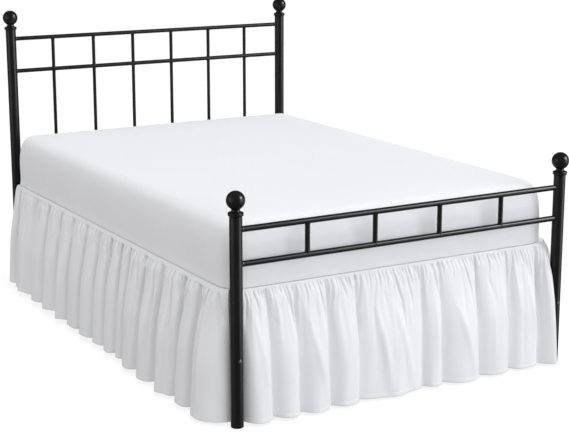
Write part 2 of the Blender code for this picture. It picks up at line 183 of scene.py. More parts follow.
class Finish(Nodes):
    # A material under construction.
    def __init__(self, name, colour, roughness):
        self.material = bpy.data.materials.new(name)
        self.material.use_nodes = True
        super().__init__(self.material.node_tree)
        self.shader = self.tree.nodes["Principled BSDF"]
        self.shader.inputs["Base Color"].default_value = (*colour, 1.0)
        self.shader.inputs["Roughness"].default_value = roughness

    def set(self, socket, value):
        if isinstance(value, Value):
            self.tree.links.new(value.socket, self.shader.inputs[socket])
        else:
            self.shader.inputs[socket].default_value = value

    def place(self):
        return self.node("ShaderNodeTexCoord", out="Object")

    def noise(self, where, scale, detail=2.0, roughness=0.5, stretch=None):
        if stretch is not None:
            where = self.node("ShaderNodeMapping", sockets={"Vector": where, "Scale": stretch})
        return self.node("ShaderNodeTexNoise", sockets={
            "Vector": where, "Scale": scale, "Detail": detail, "Roughness": roughness})

    def blend(self, share, low, high):
        # Mix of two colours by a value from 0 to 1.
        colours = {0: share, 6: (*low, 1.0), 7: (*high, 1.0)}
        return self.node("ShaderNodeMix", {"data_type": "RGBA"}, colours, out=2)

    def relief(self, height, strength, distance, below=None):
        sockets = {"Height": height, "Strength": strength, "Distance": distance}
        if below is not None:
            sockets["Normal"] = below
        return self.node("ShaderNodeBump", sockets=sockets)


paintLook = {
    "colour": (0.0072, 0.0072, 0.0078), "worn": (0.012, 0.012, 0.0125), "roughness": 0.20, "gloss": 0.17,
}
boltLook = {
    "colour": (0.030, 0.030, 0.031), "worn": (0.07, 0.07, 0.07), "roughness": 0.20, "gloss": 0.8,
}
paintGrain = {
    "clouds": 9.0, "rub": 60.0, "wear": 2.2, "smoother": 0.06, "cloudy": 0.10, "rubbed": 0.05,
    "peel": 900.0, "peelStrength": 0.25, "peelDepth": 0.00012,
}


def paintFinish(name, look):
    # Satin paint: a faint orange peel, cloudy gloss and a little rubbed dullness. The colour goes
    # to the worn one by wear * clouds * rub.
    grain = paintGrain
    finish = Finish(name, look["colour"], look["roughness"])
    where = finish.place()
    clouds = finish.noise(where, grain["clouds"], 4.0)
    rub = finish.noise(where, grain["rub"], 3.0, 0.6)
    peel = finish.noise(where, grain["peel"], 1.0)
    wear = (clouds * rub * grain["wear"]).within()
    finish.set("Base Color", finish.blend(wear, look["colour"], look["worn"]))
    smooth = look["roughness"] - grain["smoother"]
    finish.set("Roughness", smooth + grain["cloudy"] * clouds + grain["rubbed"] * rub)
    finish.set("Normal", finish.relief(peel, grain["peelStrength"], grain["peelDepth"]))
    finish.set("Specular IOR Level", look["gloss"])
    return finish.material


clothLook = {
    "thread": 0.00075, "weaveDepth": 0.00012, "weaveStrength": 0.45,
    "roughness": 0.86, "smoothest": 0.80, "slubDull": 0.14, "slubDepth": 0.00035, "slubStrength": 0.35,
    "slubDown": (420.0, 14.0, 60.0), "slubAcross": (14.0, 420.0, 60.0), "clouds": 3.2,
    "creases": 26.0, "creaseStrength": 0.5, "sheen": 0.12, "sheenRoughness": 0.5, "gloss": 0.25,
}
tickingLook = {**clothLook, "thread": 0.0015, "weaveDepth": 0.0003}


def weaveHeight(finish, uv, thread):
    # Plain weave, highest where threads cross. With warp = sin(pi x / thread) and weft =
    # sin(pi y / thread), the height is 0.6 |warp * weft| + 0.2 |warp| + 0.2 |weft|.
    across = finish.node("ShaderNodeSeparateXYZ", sockets={0: uv})
    down = Value(finish, across.socket.node.outputs[1])
    turn = math.pi / thread
    warp = (across * turn).sine()
    weft = (down * turn).sine()
    return (warp * weft).size() * 0.6 + warp.size() * 0.2 + weft.size() * 0.2


def cottonFinish(name, colour, shade, look, crumple, uvName=None):
    # White cotton: a fine plain weave, slubs along and down, faint creasing and a soft sheen. The
    # tint between shade and colour is 0.7 of the clouds and 1.4 of the slubs, about its middle.
    finish = Finish(name, colour, look["roughness"])
    where = finish.place()
    uv = where if uvName is None else finish.node("ShaderNodeUVMap", {"uv_map": uvName})
    weave = weaveHeight(finish, uv, look["thread"])
    slubDown = finish.noise(uv, 1.0, 2.0, 0.6, look["slubDown"])
    slubAcross = finish.noise(uv, 1.0, 2.0, 0.6, look["slubAcross"])
    clouds = finish.noise(where, look["clouds"], 3.0)
    slub = slubDown * 0.5 + slubAcross * 0.5
    tint = ((clouds - 0.5) * 0.7 + (slub - 0.5) * 1.4 + 0.5).within()
    finish.set("Base Color", finish.blend(tint, shade, colour))
    finish.set("Roughness", look["smoothest"] + look["slubDull"] * slub)
    creases = finish.noise(where, look["creases"], 4.0, 0.55)
    normal = finish.relief(creases, look["creaseStrength"], crumple)
    normal = finish.relief(slub, look["slubStrength"], look["slubDepth"], normal)
    finish.set("Normal", finish.relief(weave, look["weaveStrength"], look["weaveDepth"], normal))
    finish.set("Sheen Weight", look["sheen"])
    finish.set("Sheen Roughness", look["sheenRoughness"])
    finish.set("Specular IOR Level", look["gloss"])
    return finish.material


threadLook = {
    "light": (0.76, 0.76, 0.77), "dark": (0.56, 0.56, 0.57), "roughness": 0.6,
    "uneven": 140.0, "contrast": 1.6, "fuzz": 2600.0, "fuzzStrength": 0.3, "fuzzDepth": 0.0001,
}


def threadFinish(name, look):
    # Sewing thread: lighter and darker from stitch to stitch, with a fine fuzz.
    finish = Finish(name, look["light"], look["roughness"])
    where = finish.place()
    uneven = finish.noise(where, look["uneven"], 2.0)
    tint = ((uneven - 0.5) * look["contrast"] + 0.5).within()
    finish.set("Base Color", finish.blend(tint, look["dark"], look["light"]))
    fuzz = finish.noise(where, look["fuzz"], 1.0)
    finish.set("Normal", finish.relief(fuzz, look["fuzzStrength"], look["fuzzDepth"]))
    return finish.material


blackPaint = paintFinish("black_paint", paintLook)
boltPaint = paintFinish("bolt_black", boltLook)
skirtCotton = cottonFinish(
    "skirt_cotton", (0.86, 0.86, 0.87), (0.80, 0.80, 0.815), clothLook, 0.0012, "cloth")
sheetCotton = cottonFinish(
    "sheet_cotton", (0.86, 0.86, 0.872), (0.812, 0.812, 0.827), clothLook, 0.0016)
ticking = cottonFinish("ticking", (0.74, 0.73, 0.70), (0.66, 0.65, 0.62), tickingLook, 0.0008)
thread = threadFinish("sewing_thread", threadLook)
print("finishes made")


def turned(outline, sides, centre):
    # A lathe surface: each (radius, height) of the outline is carried round an upright axis.
    angle = np.linspace(0, 2 * math.pi, sides, endpoint=False)
    radius, height = outline[:, 0:1], outline[:, 1:2]
    ring = [radius * np.cos(angle), radius * np.sin(angle), height + 0 * angle]
    return np.stack(ring, axis=-1) + np.array(centre)


def arc(centreRadius, centreHeight, radius, first, last, steps):
    # Outline points on a circle, angles in degrees from the outward direction.
    angle = np.radians(np.linspace(first, last, steps))
    across, up = radius * np.cos(angle), radius * np.sin(angle)
    return np.stack([centreRadius + across, centreHeight + up], axis=-1)


postLook = {"sides": 64, "footRound": 0.003, "topRound": 0.0008}


def postOutline(radius, height, look):
    # An upright tube with rounded ends, from the middle of its foot to the middle of its top.
    foot, top = look["footRound"], look["topRound"]
    return np.concatenate([
        [(0, 0)],
        arc(radius - foot, foot, foot, -90, 0, 7),
        arc(radius - top, height - top, top, 0, 90, 4),
        [(0, height)],
    ])


finialLook = {"sides": 56, "ball": 0.0325, "lift": 0.0025, "neck": 0.0150, "neckAt": -0.0318,
              "collar": 0.0268, "collarLow": -0.0525, "collarHigh": -0.0397, "seat": 0.0212}


def finialOutline(look):
    # Seat, rounded collar, hollow neck and ball, heights from the ball's centre.
    low, high, collar = look["collarLow"], look["collarHigh"], look["collar"]
    rim = 0.5 * (high - low) * 0.55
    share = np.linspace(0, 1, 9)[1:]
    neckFoot = np.array([look["seat"] - 0.001, high + 0.0012])
    neckTop = np.array([look["neck"], look["neckAt"]])
    hollow = np.stack([
        neckTop[0] + (neckFoot[0] - neckTop[0]) * (1 - np.sin(0.5 * math.pi * share)),
        neckFoot[1] + (neckTop[1] - neckFoot[1]) * (1 - np.cos(0.5 * math.pi * share)),
    ], axis=-1)
    meet = math.degrees(math.acos(look["neck"] / look["ball"]))
    return np.concatenate([
        [(0, low - 0.0005), (look["seat"], low - 0.0005)],
        arc(collar - rim, low + rim, rim, -80, 0, 6),
        arc(collar - rim, high - rim, rim, 0, 80, 6),
        [neckFoot],
        hollow,
        arc(0, 0, look["ball"], -meet, 90, 30),
    ])


tubeLook = {"sides": 40, "weld": 0.0011, "weldReach": 0.0022, "gap": 0.0003, "endDip": 0.006,
            "weldSteps": (0.0, 0.0005, 0.0012, 0.0022, 0.0035, 0.0055, 0.009)}


def tubePoints(first, last, radius, host, look):
    # A round tube between the centre lines of two equal round hosts that lie across it. Each line
    # along its wall stops at the host's surface, sqrt(host^2 - across^2) from its centre line,
    # and its end flares like a small weld, by weld * exp(-distance / reach).
    first, last = np.array(first, float), np.array(last, float)
    axis = (last - first) / np.linalg.norm(last - first)
    side = np.array([0.0, 1.0, 0.0])  # hosts and tubes all lie in planes of constant Y
    up = np.cross(axis, side)
    angle = np.linspace(0, 2 * math.pi, look["sides"], endpoint=False)
    fromEnd = np.array(look["weldSteps"])
    length = np.linalg.norm(last - first)
    rings = []
    for sign, base in ((1, 0.0), (-1, length)):
        swell = radius + look["weld"] * np.exp(-fromEnd / look["weldReach"])
        wall = np.sqrt(host ** 2 - (np.outer(swell, np.cos(angle))) ** 2)
        along = base + sign * (wall + look["gap"] + fromEnd[:, None])
        hub = np.full((1, len(angle)), base + sign * (host + look["endDip"]))
        block = np.concatenate([hub, along])
        size = np.concatenate([[0.0], swell])[:, None] + 0 * angle
        rings.append((block, size) if sign > 0 else (block[::-1], size[::-1]))
    along = np.concatenate([rings[0][0], rings[1][0]])[..., None]
    size = np.concatenate([rings[0][1], rings[1][1]])[..., None]
    spoke = np.cos(angle)[:, None] * side + np.sin(angle)[:, None] * up
    return first + along * axis + size * spoke


def boxMiddle(node):
    # The low corner, the high corner and the middle of a CAD node.
    low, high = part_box(node)
    return np.array(low), np.array(high), (np.array(low) + np.array(high)) / 2


def addMetal(node, ending, points, sharp, material=blackPaint):
    # A closed metal surface in place of one CAD node.
    mesh = gridMesh(node + ending, points, closed=True, merge=True)
    addPiece(mesh.name, mesh, material, [node], sharp)


bedCorners = [(end, side) for end in ("foot", "head") for side in ("left", "right")]


def dressPosts():
    # Round tubes, and finials whose balls are a little larger and higher than the CAD ones.
    for end, side in bedCorners:
        post, finial = f"post_{end}_{side}", f"finial_{end}_{side}"
        low, high, middle = boxMiddle(post)
        outline = postOutline((high[0] - low[0]) / 2, high[2] - low[2], postLook)
        foot = (middle[0], middle[1], low[2])
        addMetal(post, "_tube", turned(outline, postLook["sides"], foot), 50)
        _, high, middle = boxMiddle(finial)
        centre = (middle[0], middle[1], high[2] - finialLook["ball"] + finialLook["lift"])
        points = turned(finialOutline(finialLook), finialLook["sides"], centre)
        addMetal(finial, "_turned", points, 50)


def dressRails():
    # Level tubes from post to post.
    postLow, postHigh, postMiddle = boxMiddle("post_foot_right")
    postRadius = (postHigh[0] - postLow[0]) / 2
    for rail in ("foot_rail_top", "foot_rail_low", "head_rail_top", "head_rail_middle", "head_rail_low"):
        low, high, middle = boxMiddle(rail)
        ends = [(x, middle[1], middle[2]) for x in (-postMiddle[0], postMiddle[0])]
        points = tubePoints(*ends, (high[2] - low[2]) / 2, postRadius, tubeLook)
        addMetal(rail, "_tube", points, 60)


def dressSpindles():
    # Upright tubes from rail to rail.
    groups = (
        ("foot_spindle", 4, "foot_rail_low", "foot_rail_top"),
        ("head_spindle_upper", 6, "head_rail_middle", "head_rail_top"),
        ("head_spindle_lower", 6, "head_rail_low", "head_rail_middle"),
    )
    for group, count, lower, upper in groups:
        lowRail, highRail = boxMiddle(lower), boxMiddle(upper)
        host = (lowRail[1][2] - lowRail[0][2]) / 2
        for number in range(1, count + 1):
            node = f"{group}_{number}"
            low, high, middle = boxMiddle(node)
            ends = [(middle[0], middle[1], rail[2][2]) for rail in (lowRail, highRail)]
            points = tubePoints(*ends, (high[0] - low[0]) / 2, host, tubeLook)
            addMetal(node, "_tube", points, 60)


boltShape = {"sides": 28, "radius": 0.0064, "height": 0.0032, "rim": 0.0006, "roundness": 0.72,
             "socket": 0.0024, "socketDepth": 0.0016, "socketFoot": 0.92, "socketCone": 0.0004}


def dressBolts():
    # A domed button head, turned about the line that points away from the post, with a key socket.
    look = boltShape
    radius, height, rim = look["radius"], look["height"], look["rim"]
    angle = 0.5 * math.pi * np.linspace(0, 1, 8) * look["roundness"]
    rise = (height - rim) * np.sin(angle) / math.sin(0.5 * math.pi * look["roundness"])
    floor = height - look["socketDepth"]
    outline = np.concatenate([
        [(0, 0), (radius, 0)],
        np.stack([radius * np.cos(angle), rim + rise], axis=-1),
        [(look["socket"], height), (look["socket"] * look["socketFoot"], floor),
         (0, floor - look["socketCone"])],
    ])
    lathe = turned(outline, look["sides"], (0, 0, 0))
    for end, side in bedCorners:
        node = f"bolt_{end}_{side}"
        low, high, middle = boxMiddle(node)
        way, back = (1, high[1] - height) if end == "head" else (-1, low[1] + height)
        points = np.stack([lathe[..., 0], way * lathe[..., 2], lathe[..., 1]], axis=-1)
        points = points + np.array([middle[0], back, middle[2]])
        addMetal(node, "_head", points, 40, boltPaint)


def dressSideRails():
    # The CAD rails are shown as they are, in the bed's paint.
    for side in ("left", "right"):
        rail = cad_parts[f"side_rail_{side}"]
        rail.data.materials.clear()
        rail.data.materials.append(blackPaint)


dressPosts()
dressRails()
dressSpindles()
dressBolts()
dressSideRails()
print("metal bed made")


def roundedOutline(halfX, halfY, headCorner, footLeft, footRight, cornerSteps, sideSteps):
    # A level outline round a rectangle with an arc at each corner. Every outline has the same
    # number of points, so outlines can be stacked into a surface.
    corners = ((1, 1, headCorner), (-1, 1, headCorner), (-1, -1, footLeft), (1, -1, footRight))
    arcs = []
    for quarter, (side, end, radius) in enumerate(corners):
        angle = 0.5 * math.pi * (quarter + np.linspace(0, 1, cornerSteps))
        arcs.append(np.stack([side * (halfX - radius) + radius * np.cos(angle),
                              end * (halfY - radius) + radius * np.sin(angle)], axis=-1))
    share = np.linspace(0, 1, sideSteps + 2)[1:-1, None]
    parts = []
    for points, following in zip(arcs, arcs[1:] + arcs[:1]):
        parts += [points, points[-1] + (following[0] - points[-1]) * share]
    return np.concatenate(parts)


def blockPoints(profile, low, high, corners, look):
    # Outlines stacked up a profile of (inset, height), closed over the underside and the top by
    # rings that shrink to the middle. Each corner's radius shrinks by 0.6 of the inset.
    halfX, halfY = (high[0] - low[0]) / 2, (high[1] - low[1]) / 2
    levels = []
    for inset, up in profile:
        radii = [max(corner - 0.6 * inset, 0.02) for corner in corners]
        outline = roundedOutline(
            halfX - inset, halfY - inset, *radii, look["cornerSteps"], look["sideSteps"])
        levels.append(np.column_stack([outline, np.full(len(outline), low[2] + up)]))
    shrink = [(1 - share, 1 - share, 1) for share in np.linspace(0, 1, look["topRings"] + 1)[1:]]
    grow = [(1 - share, 1 - share, 1) for share in np.linspace(1, 0, look["underRings"] + 1)[:-1]]
    under, top = [levels[0] * size for size in grow], [levels[-1] * size for size in shrink]
    return np.array(under + levels + top)


mattressLook = {
    "headCorner": 0.050, "footLeft": 0.085, "footRight": 0.125, "cornerSteps": 22, "sideSteps": 60,
    "topRings": 13, "underRings": 6, "girth": 6.8, "join": 0.03,
    "wallFoot": (0.004, 0.03), "wallHead": (0.16, 0.23),
    "wave": 0.0022, "waveLength": 0.55, "waveSlant": 0.8,
    "tuck": 0.0020, "tuckLength": 0.045, "tuckAt": 0.012, "tuckReach": 0.03,
    "topEdge": (0.222, 0.2345), "sag": 0.0011, "sagLength": 0.5, "sagFrom": (0.05, 0.25),
}

# Level lines round the mattress, as in from its widest outline and up from its underside
mattressLines = np.array((
    (0.004, 0.000), (0.001, 0.0015), (0.000, 0.007), (0.000, 0.048), (0.000, 0.100), (0.004, 0.152),
    (0.012, 0.184), (0.024, 0.206), (0.041, 0.220), (0.064, 0.2275), (0.120, 0.2320), (0.240, 0.2345),
))


def smoothLine(points, steps):
    # A Catmull-Rom curve through the points, steps for each span.
    padded = np.concatenate([[2 * points[0] - points[1]], points, [2 * points[-1] - points[-2]]])
    t = np.linspace(0, 1, steps, endpoint=False)[:, None]
    spans = []
    for a, b, c, d in zip(padded, padded[1:], padded[2:], padded[3:]):
        curve = 2 * b + (c - a) * t + (2 * a - 5 * b + 4 * c - d) * t ** 2
        spans.append(0.5 * (curve + (3 * b - a - 3 * c + d) * t ** 3))
    return np.concatenate(spans + [points[-1:]])


def makeMattress():
    # The sheet is drawn tight, with puckers of its elastic hem under the edge and long soft waves
    # on the sides and the top.
    low, high, _ = boxMiddle("mattress")
    look = mattressLook
    profile = smoothLine(mattressLines, 4)
    profile[:, 0] = np.maximum(profile[:, 0], 0)
    corners = [look[corner] for corner in ("headCorner", "footLeft", "footRight")]
    points = blockPoints(profile, low, high, corners, look)
    columns = points.shape[1]
    around = np.arange(columns) / columns
    run = around * look["girth"]
    height = points[..., 2] - low[2]
    wall = smoothStep(height, *look["wallFoot"]) * (1 - smoothStep(height, *look["wallHead"]))
    tangent = np.roll(points, -1, axis=1)[..., :2] - np.roll(points, 1, axis=1)[..., :2]
    outward = np.stack([tangent[..., 1], -tangent[..., 0]], axis=-1)
    outward /= np.maximum(np.linalg.norm(outward, axis=-1, keepdims=True), 1e-9)
    join = smoothStep(np.minimum(around, 1 - around), 0, look["join"])
    long = softNoise(run + height * look["waveSlant"], look["waveLength"], 3) * look["wave"] * join
    hem = bump(height, look["tuckAt"], look["tuckReach"])
    tight = softNoise(run, look["tuckLength"], 4) * look["tuck"] * hem * join
    inwards = wall * (0.5 * look["wave"] + np.abs(long)) + np.abs(tight)
    points[..., :2] -= outward * inwards[..., None]
    sway = 1 + softNoise(points[..., 0] * 0.8 + points[..., 1] * 0.5, look["sagLength"], 5)
    sag = smoothStep(height, *look["topEdge"]) * look["sag"] * sway
    points[..., 2] -= sag * smoothStep(np.abs(points[..., 0]), *look["sagFrom"])
    mesh = gridMesh("mattress_in_sheet", points, closed=True, merge=True)
    piece = addPiece(mesh.name, mesh, sheetCotton, ["mattress"])


boxLook = {"corner": 0.065, "edge": 0.012, "puff": 0.003, "cornerSteps": 14, "sideSteps": 40,
           "topRings": 5, "underRings": 5, "welt": 0.0012, "weltAt": 0.022, "weltWidth": 0.0035}


def makeBoxSpring():
    # A padded block: rounded rims, slightly puffed walls and a raised welt line near each rim.
    low, high, _ = boxMiddle("box_spring")
    look = boxLook
    tall, edge, weltAt = high[2] - low[2], look["edge"], look["weltAt"]
    angle = np.radians(np.linspace(0, 90, 6))
    foot = np.stack([edge * (1 - np.sin(angle)), edge * (1 - np.cos(angle))], axis=-1)
    up = np.linspace(edge, tall - edge, 26)[1:-1]
    wall = np.stack([0 * up, up], axis=-1)
    head = np.stack([foot[::-1, 0], tall - foot[::-1, 1]], axis=-1)
    profile = np.concatenate([foot, wall, head])
    height = profile[:, 1].copy()
    welt = bump(height, weltAt, look["weltWidth"]) + bump(height, tall - weltAt, look["weltWidth"])
    profile[:, 0] += look["puff"] * (1 - np.sin(math.pi * height / tall)) - look["welt"] * welt
    points = blockPoints(profile, low, high, [look["corner"]] * 3, look)
    mesh = gridMesh("box_spring_cover", points, closed=True, merge=True)
    piece = addPiece(mesh.name, mesh, ticking, ["box_spring"])


makeBoxSpring()
makeMattress()
print("box spring and mattress made")


# The bed skirt. Heights are drops below the deck's level. Each edge is the ruffle's free end in
# plan, as (x, y) for each of edgeDrops, so the splits open as they fall.
skirtLook = {
    "halfX": 0.700, "footY": -1.018, "headY": 1.012, "corner": 0.075, "split": math.radians(4),
    "level": 0.4693, "drop": 0.4575, "seamGap": 0.0017,
    "sideReach": (0.085, 0.055), "footReach": (0.060, 0.085),
    "shoulderOut": 0.012, "shoulderDrop": 0.016, "flare": 0.030, "hemRise": 0.016,
    "ripple": 0.007, "cloth": 0.0013, "hemCloth": 0.0019, "hem": 0.018, "hemStep": (-0.0012, 0.0010),
    "hemStitch": 0.0164, "wrinkle": 0.0014, "hemWave": 0.0022, "columns": 900,
    "deckCorner": 0.004, "deckRings": (1.0, 0.996, 0.98, 0.94, 0.8, 0.5, 0.2, 0.0),
}
edgeDrops = (0, 0.007, 0.022, 0.060, 0.125, 0.215, 0.330, 0.4575)
sideHeadEdge = ((-0.7017, 1.0120), (-0.7080, 1.0125), (-0.7135, 1.0130), (-0.7190, 1.0145),
                (-0.7260, 1.0165), (-0.7340, 1.0190), (-0.7420, 1.0215), (-0.7500, 1.0240))
sideFootEdge = ((-0.6830, -0.9932), (-0.6860, -0.9965), (-0.6905, -1.0030), (-0.6945, -1.0120),
                (-0.6970, -1.0205), (-0.6975, -1.0275), (-0.6965, -1.0312), (-0.6965, -1.0318))
footLeftEdge = ((-0.6752, -1.0010), (-0.6755, -1.0040), (-0.6750, -1.0090), (-0.6740, -1.0160),
                (-0.6725, -1.0220), (-0.6710, -1.0270), (-0.6695, -1.0310), (-0.6680, -1.0340))
footRightEdge = ((0.6752, -1.0010), (0.6770, -1.0110), (0.6725, -1.0290), (0.6585, -1.0560),
                 (0.6635, -1.0750), (0.6700, -1.0860), (0.6720, -1.0990), (0.6730, -1.1100))

# Folds as (width, depth, lean at the hem, count of soft ripples on the face), the first three in
# millimetres, from head to foot or left to right
leftFolds = (
    (60, 24, 0, 0), (212, 36, 6, 2), (148, 38, 0, 0), (150, 41, -5, 0), (133, 40, 0, 2),
    (141, 38, 4, 0), (139, 43, 0, 0), (114, 36, -4, 0), (101, 36, 0, 0), (84, 28, 5, 0),
    (142, 46, 0, 0), (147, 50, 4, 0), (182, 52, 0, 2), (125, 44, -4, 0), (157, 50, 0, 0),
)
rightFolds = (
    (91, 24, 0, 0), (139, 36, -4, 0), (122, 38, 0, 0), (176, 44, 5, 2), (118, 36, 0, 0),
    (149, 45, 4, 0), (134, 40, 0, 0), (190, 46, -6, 2), (108, 36, 0, 0), (137, 44, 3, 0),
    (160, 48, 0, 2), (96, 36, -4, 0), (145, 48, 0, 0), (119, 44, 4, 0), (134, 50, 0, 0),
)
footFolds = (
    (122, 40, 4, 0), (109, 45, 0, 0), (128, 46, -2, 0), (121, 44, -2, 0), (283, 40, -10, 2),
    (78, 34, -10, 0), (163, 50, 6, 0), (144, 42, 0, 0), (139, 36, -4, 0), (70, 10, 0, 0),
)

# Creases as (along the seam, drop) at the top and at the foot, width, height and bow, in millimetres:
# a positive height is a ridge and a negative one a trough
leftCreases = (
    (115, 60, 135, 330, 12, 4, 4), (215, 40, 240, 240, 10, -4, -3), (330, 90, 318, 430, 11, 4, 5),
    (470, 50, 492, 270, 9, -4, 4), (560, 120, 548, 440, 12, 4.5, -4), (700, 60, 718, 300, 10, 4, 3),
    (845, 40, 832, 220, 9, -4, 0), (950, 110, 968, 430, 12, 4, 6), (1085, 50, 1070, 260, 9, -3.5, -3),
    (1265, 80, 1285, 380, 12, 5, 4), (1400, 50, 1392, 250, 10, -4, 3),
    (1475, 140, 1490, 450, 13, 5, -5), (1620, 60, 1600, 330, 12, 4.5, 4),
    (1690, 100, 1705, 440, 12, -5, 4), (1845, 45, 1838, 280, 10, 4, -3),
    (1930, 90, 1944, 420, 12, 4, 4),
)
rightCreases = (
    (130, 50, 118, 300, 11, 4, 4), (260, 80, 280, 420, 12, -4, -4), (420, 50, 405, 240, 10, 4, 3),
    (545, 100, 560, 430, 12, 4.5, 5), (690, 45, 702, 260, 9, -4, 0), (830, 70, 812, 340, 12, 4, -4),
    (985, 60, 1000, 440, 13, 5, 5), (1130, 50, 1118, 250, 9, -4, 3), (1290, 100, 1305, 400, 12, 4.5, 4),
    (1450, 50, 1436, 270, 10, -4, -3), (1600, 70, 1622, 430, 12, 4.5, 4),
    (1760, 50, 1748, 300, 10, 4, 3), (1880, 120, 1895, 440, 12, -4.5, 4),
)
footCreases = (
    (46, 42, 104, 455, 16, 5, 6), (186, 77, 222, 450, 14, 6, 10), (129, 100, 159, 155, 9, -4, 0),
    (150, 30, 146, 210, 9, 3.5, 3), (261, 88, 341, 448, 15, 5.5, -8), (250, 50, 243, 270, 9, -4, 0),
    (310, 40, 322, 200, 9, 3.5, 0), (400, 70, 410, 300, 12, -4, 4), (455, 100, 470, 440, 13, 5.5, 3),
    (545, 110, 598, 450, 16, 9, 4), (620, 115, 704, 455, 16, 9.5, 6), (515, 40, 512, 200, 10, 4, 0),
    (585, 45, 600, 230, 10, -4, 4), (680, 50, 700, 240, 9, 3.5, 0), (800, 80, 806, 420, 12, 4, 3),
    (873, 118, 955, 445, 15, 6.5, 6), (930, 40, 922, 220, 9, -4, 0), (1045, 80, 1075, 210, 10, -4.5, 4),
    (1100, 120, 1135, 430, 14, 6, 4), (1060, 220, 1052, 445, 13, 4, 0), (1180, 50, 1190, 260, 10, 4, 0),
    (1229, 120, 1277, 400, 13, 6, 4), (1205, 200, 1200, 445, 13, -3.5, 0),
    (1318, 60, 1322, 330, 11, 3.5, 0),
)

# The drops of a panel's rows, from just above the seam, closest where the hem is turned and sewn
hemRows = (0.4330, 0.4370, 0.4383, 0.4392, 0.4399, 0.4405, 0.4411, 0.4417, 0.4425,
           0.4440, 0.4495, 0.4545, 0.4575)
rowDrops = np.unique(np.round(np.concatenate([
    [-0.0007], np.linspace(0, 0.010, 5), np.linspace(0.010, 0.030, 9), np.linspace(0.030, 0.120, 13),
    np.linspace(0.120, 0.425, 14), hemRows,
]), 5))


def sideSeam(along):
    # The left seam, from the head down the side and round the first part of the foot corner:
    # its places in plan and the way out from each.
    look = skirtLook
    straight = look["headY"] - (look["footY"] + look["corner"])
    turn = np.clip((along - straight) / look["corner"], 0, None)
    x = -(look["halfX"] - look["corner"]) - look["corner"] * np.cos(turn)
    y = look["headY"] - np.minimum(along, straight) - look["corner"] * np.sin(turn)
    return np.stack([x, y], axis=-1), np.stack([-np.cos(turn), -np.sin(turn)], axis=-1)


def footSeam(along):
    # The foot seam from left to right, with a little of each corner. Its way out fans less than
    # the corner turns, so both ends hang nearly straight.
    look = skirtLook
    straight = 2 * (look["halfX"] - look["corner"])
    before = (0.25 * math.pi - look["split"]) * look["corner"]
    leftTurn = np.clip((before - along) / look["corner"], 0, None)
    rightTurn = np.clip((along - before - straight) / look["corner"], 0, None)
    turn = rightTurn - leftTurn
    x = np.clip(along - before, 0, straight) - straight / 2 + look["corner"] * np.sin(turn)
    y = look["footY"] + look["corner"] - look["corner"] * np.cos(turn)
    fan = 0.3 * turn
    return np.stack([x, y], axis=-1), np.stack([np.sin(fan), -np.cos(fan)], axis=-1)


sideGathers = {"header": 0.0165, "pitch": (0.019, 0.040), "depth": (0.011, 0.022), "width": 0.005,
               "spread": 0.022, "reach": (0.050, 0.120), "longReach": (0.15, 0.34), "longShare": 0.35,
               "pleat": (0.020, 0.029), "pleatWidth": 0.007, "pleatReach": (0.22, 0.42)}
footGathers = {"header": 0.0075, "pitch": (0.009, 0.0215), "depth": (0.003, 0.0105), "width": 0.0027,
               "spread": 0.024, "reach": (0.025, 0.080), "longReach": (0.11, 0.30), "longShare": 0.35,
               "pleat": (0.007, 0.011), "pleatWidth": 0.0036, "pleatReach": (0.10, 0.26)}


gatherShape = {"endGap": 0.010, "drift": (-0.03, 0.03), "driftShare": 0.6, "driftDrops": (0.015, 0.15),
               "scatter": 0.006, "start": (-0.004, 0.012), "fade": (0.35, 1.35)}


def gathers(along, drop, valleys, length, look, seed):
    # Small valleys below the header: sum of -depth * exp(-((s - path)/width)^2), where each path
    # runs down towards the nearest big valley and fades out after its own reach. Some are long,
    # and a sharp pleat starts each big valley. width grows by spread * drop.
    shape = gatherShape
    draw = np.random.default_rng(seed)
    spots = np.cumsum(draw.uniform(*look["pitch"], int(length / look["pitch"][0])))
    spots = spots[spots < length - shape["endGap"]]
    count = len(spots)
    isLong = draw.uniform(size=count) < look["longShare"]
    longReach = draw.uniform(*look["longReach"], count)
    reach = np.where(isLong, longReach, draw.uniform(*look["reach"], count))
    depth = draw.uniform(*look["depth"], count)
    places = np.concatenate([[0], valleys, [length]])
    nearest = places[np.abs(places[None, :] - spots[:, None]).argmin(1)]
    drift = np.clip(nearest - spots, *shape["drift"]) * shape["driftShare"]
    drift = drift + draw.uniform(-shape["scatter"], shape["scatter"], count)
    pleats = len(valleys)
    spots, drift = np.concatenate([spots, valleys]), np.concatenate([drift, np.zeros(pleats)])
    depth = np.concatenate([depth, draw.uniform(*look["pleat"], pleats)])
    reach = np.concatenate([reach, draw.uniform(*look["pleatReach"], pleats)])
    path = spots + drift * smoothStep(drop[..., None], *shape["driftDrops"])
    width = np.repeat((look["width"], look["pleatWidth"]), (count, pleats))
    width = width + look["spread"] * drop[..., None]
    start, end = (look["header"] + past for past in shape["start"])
    strength = depth * smoothStep(drop[..., None], start, end)
    fadeFrom, fadeTo = (share * reach for share in shape["fade"])
    strength = strength * (1 - smoothStep(drop[..., None], fadeFrom, fadeTo))
    return -(strength * np.exp(-((along[..., None] - path) / width) ** 2)).sum(-1)


def creaseRelief(along, drop, creases):
    # Each crease: height * sin(pi t)^0.8 * exp(-((s - line) / (width (0.6 + 0.6 t)))^2), with t
    # from its top to its foot and its line bowed by bow * sin(pi t).
    relief = 0 * along * drop
    for topAlong, topDrop, footAlong, footDrop, width, height, bow in np.array(creases) / 1000:
        t = np.clip((drop - topDrop) / (footDrop - topDrop), 0, 1)
        fade = np.sin(math.pi * t) ** 0.8
        line = topAlong + (footAlong - topAlong) * t + bow * np.sin(math.pi * t)
        relief = relief + height * fade * np.exp(-((along - line) / (width * (0.6 + 0.6 * t))) ** 2)
    return relief


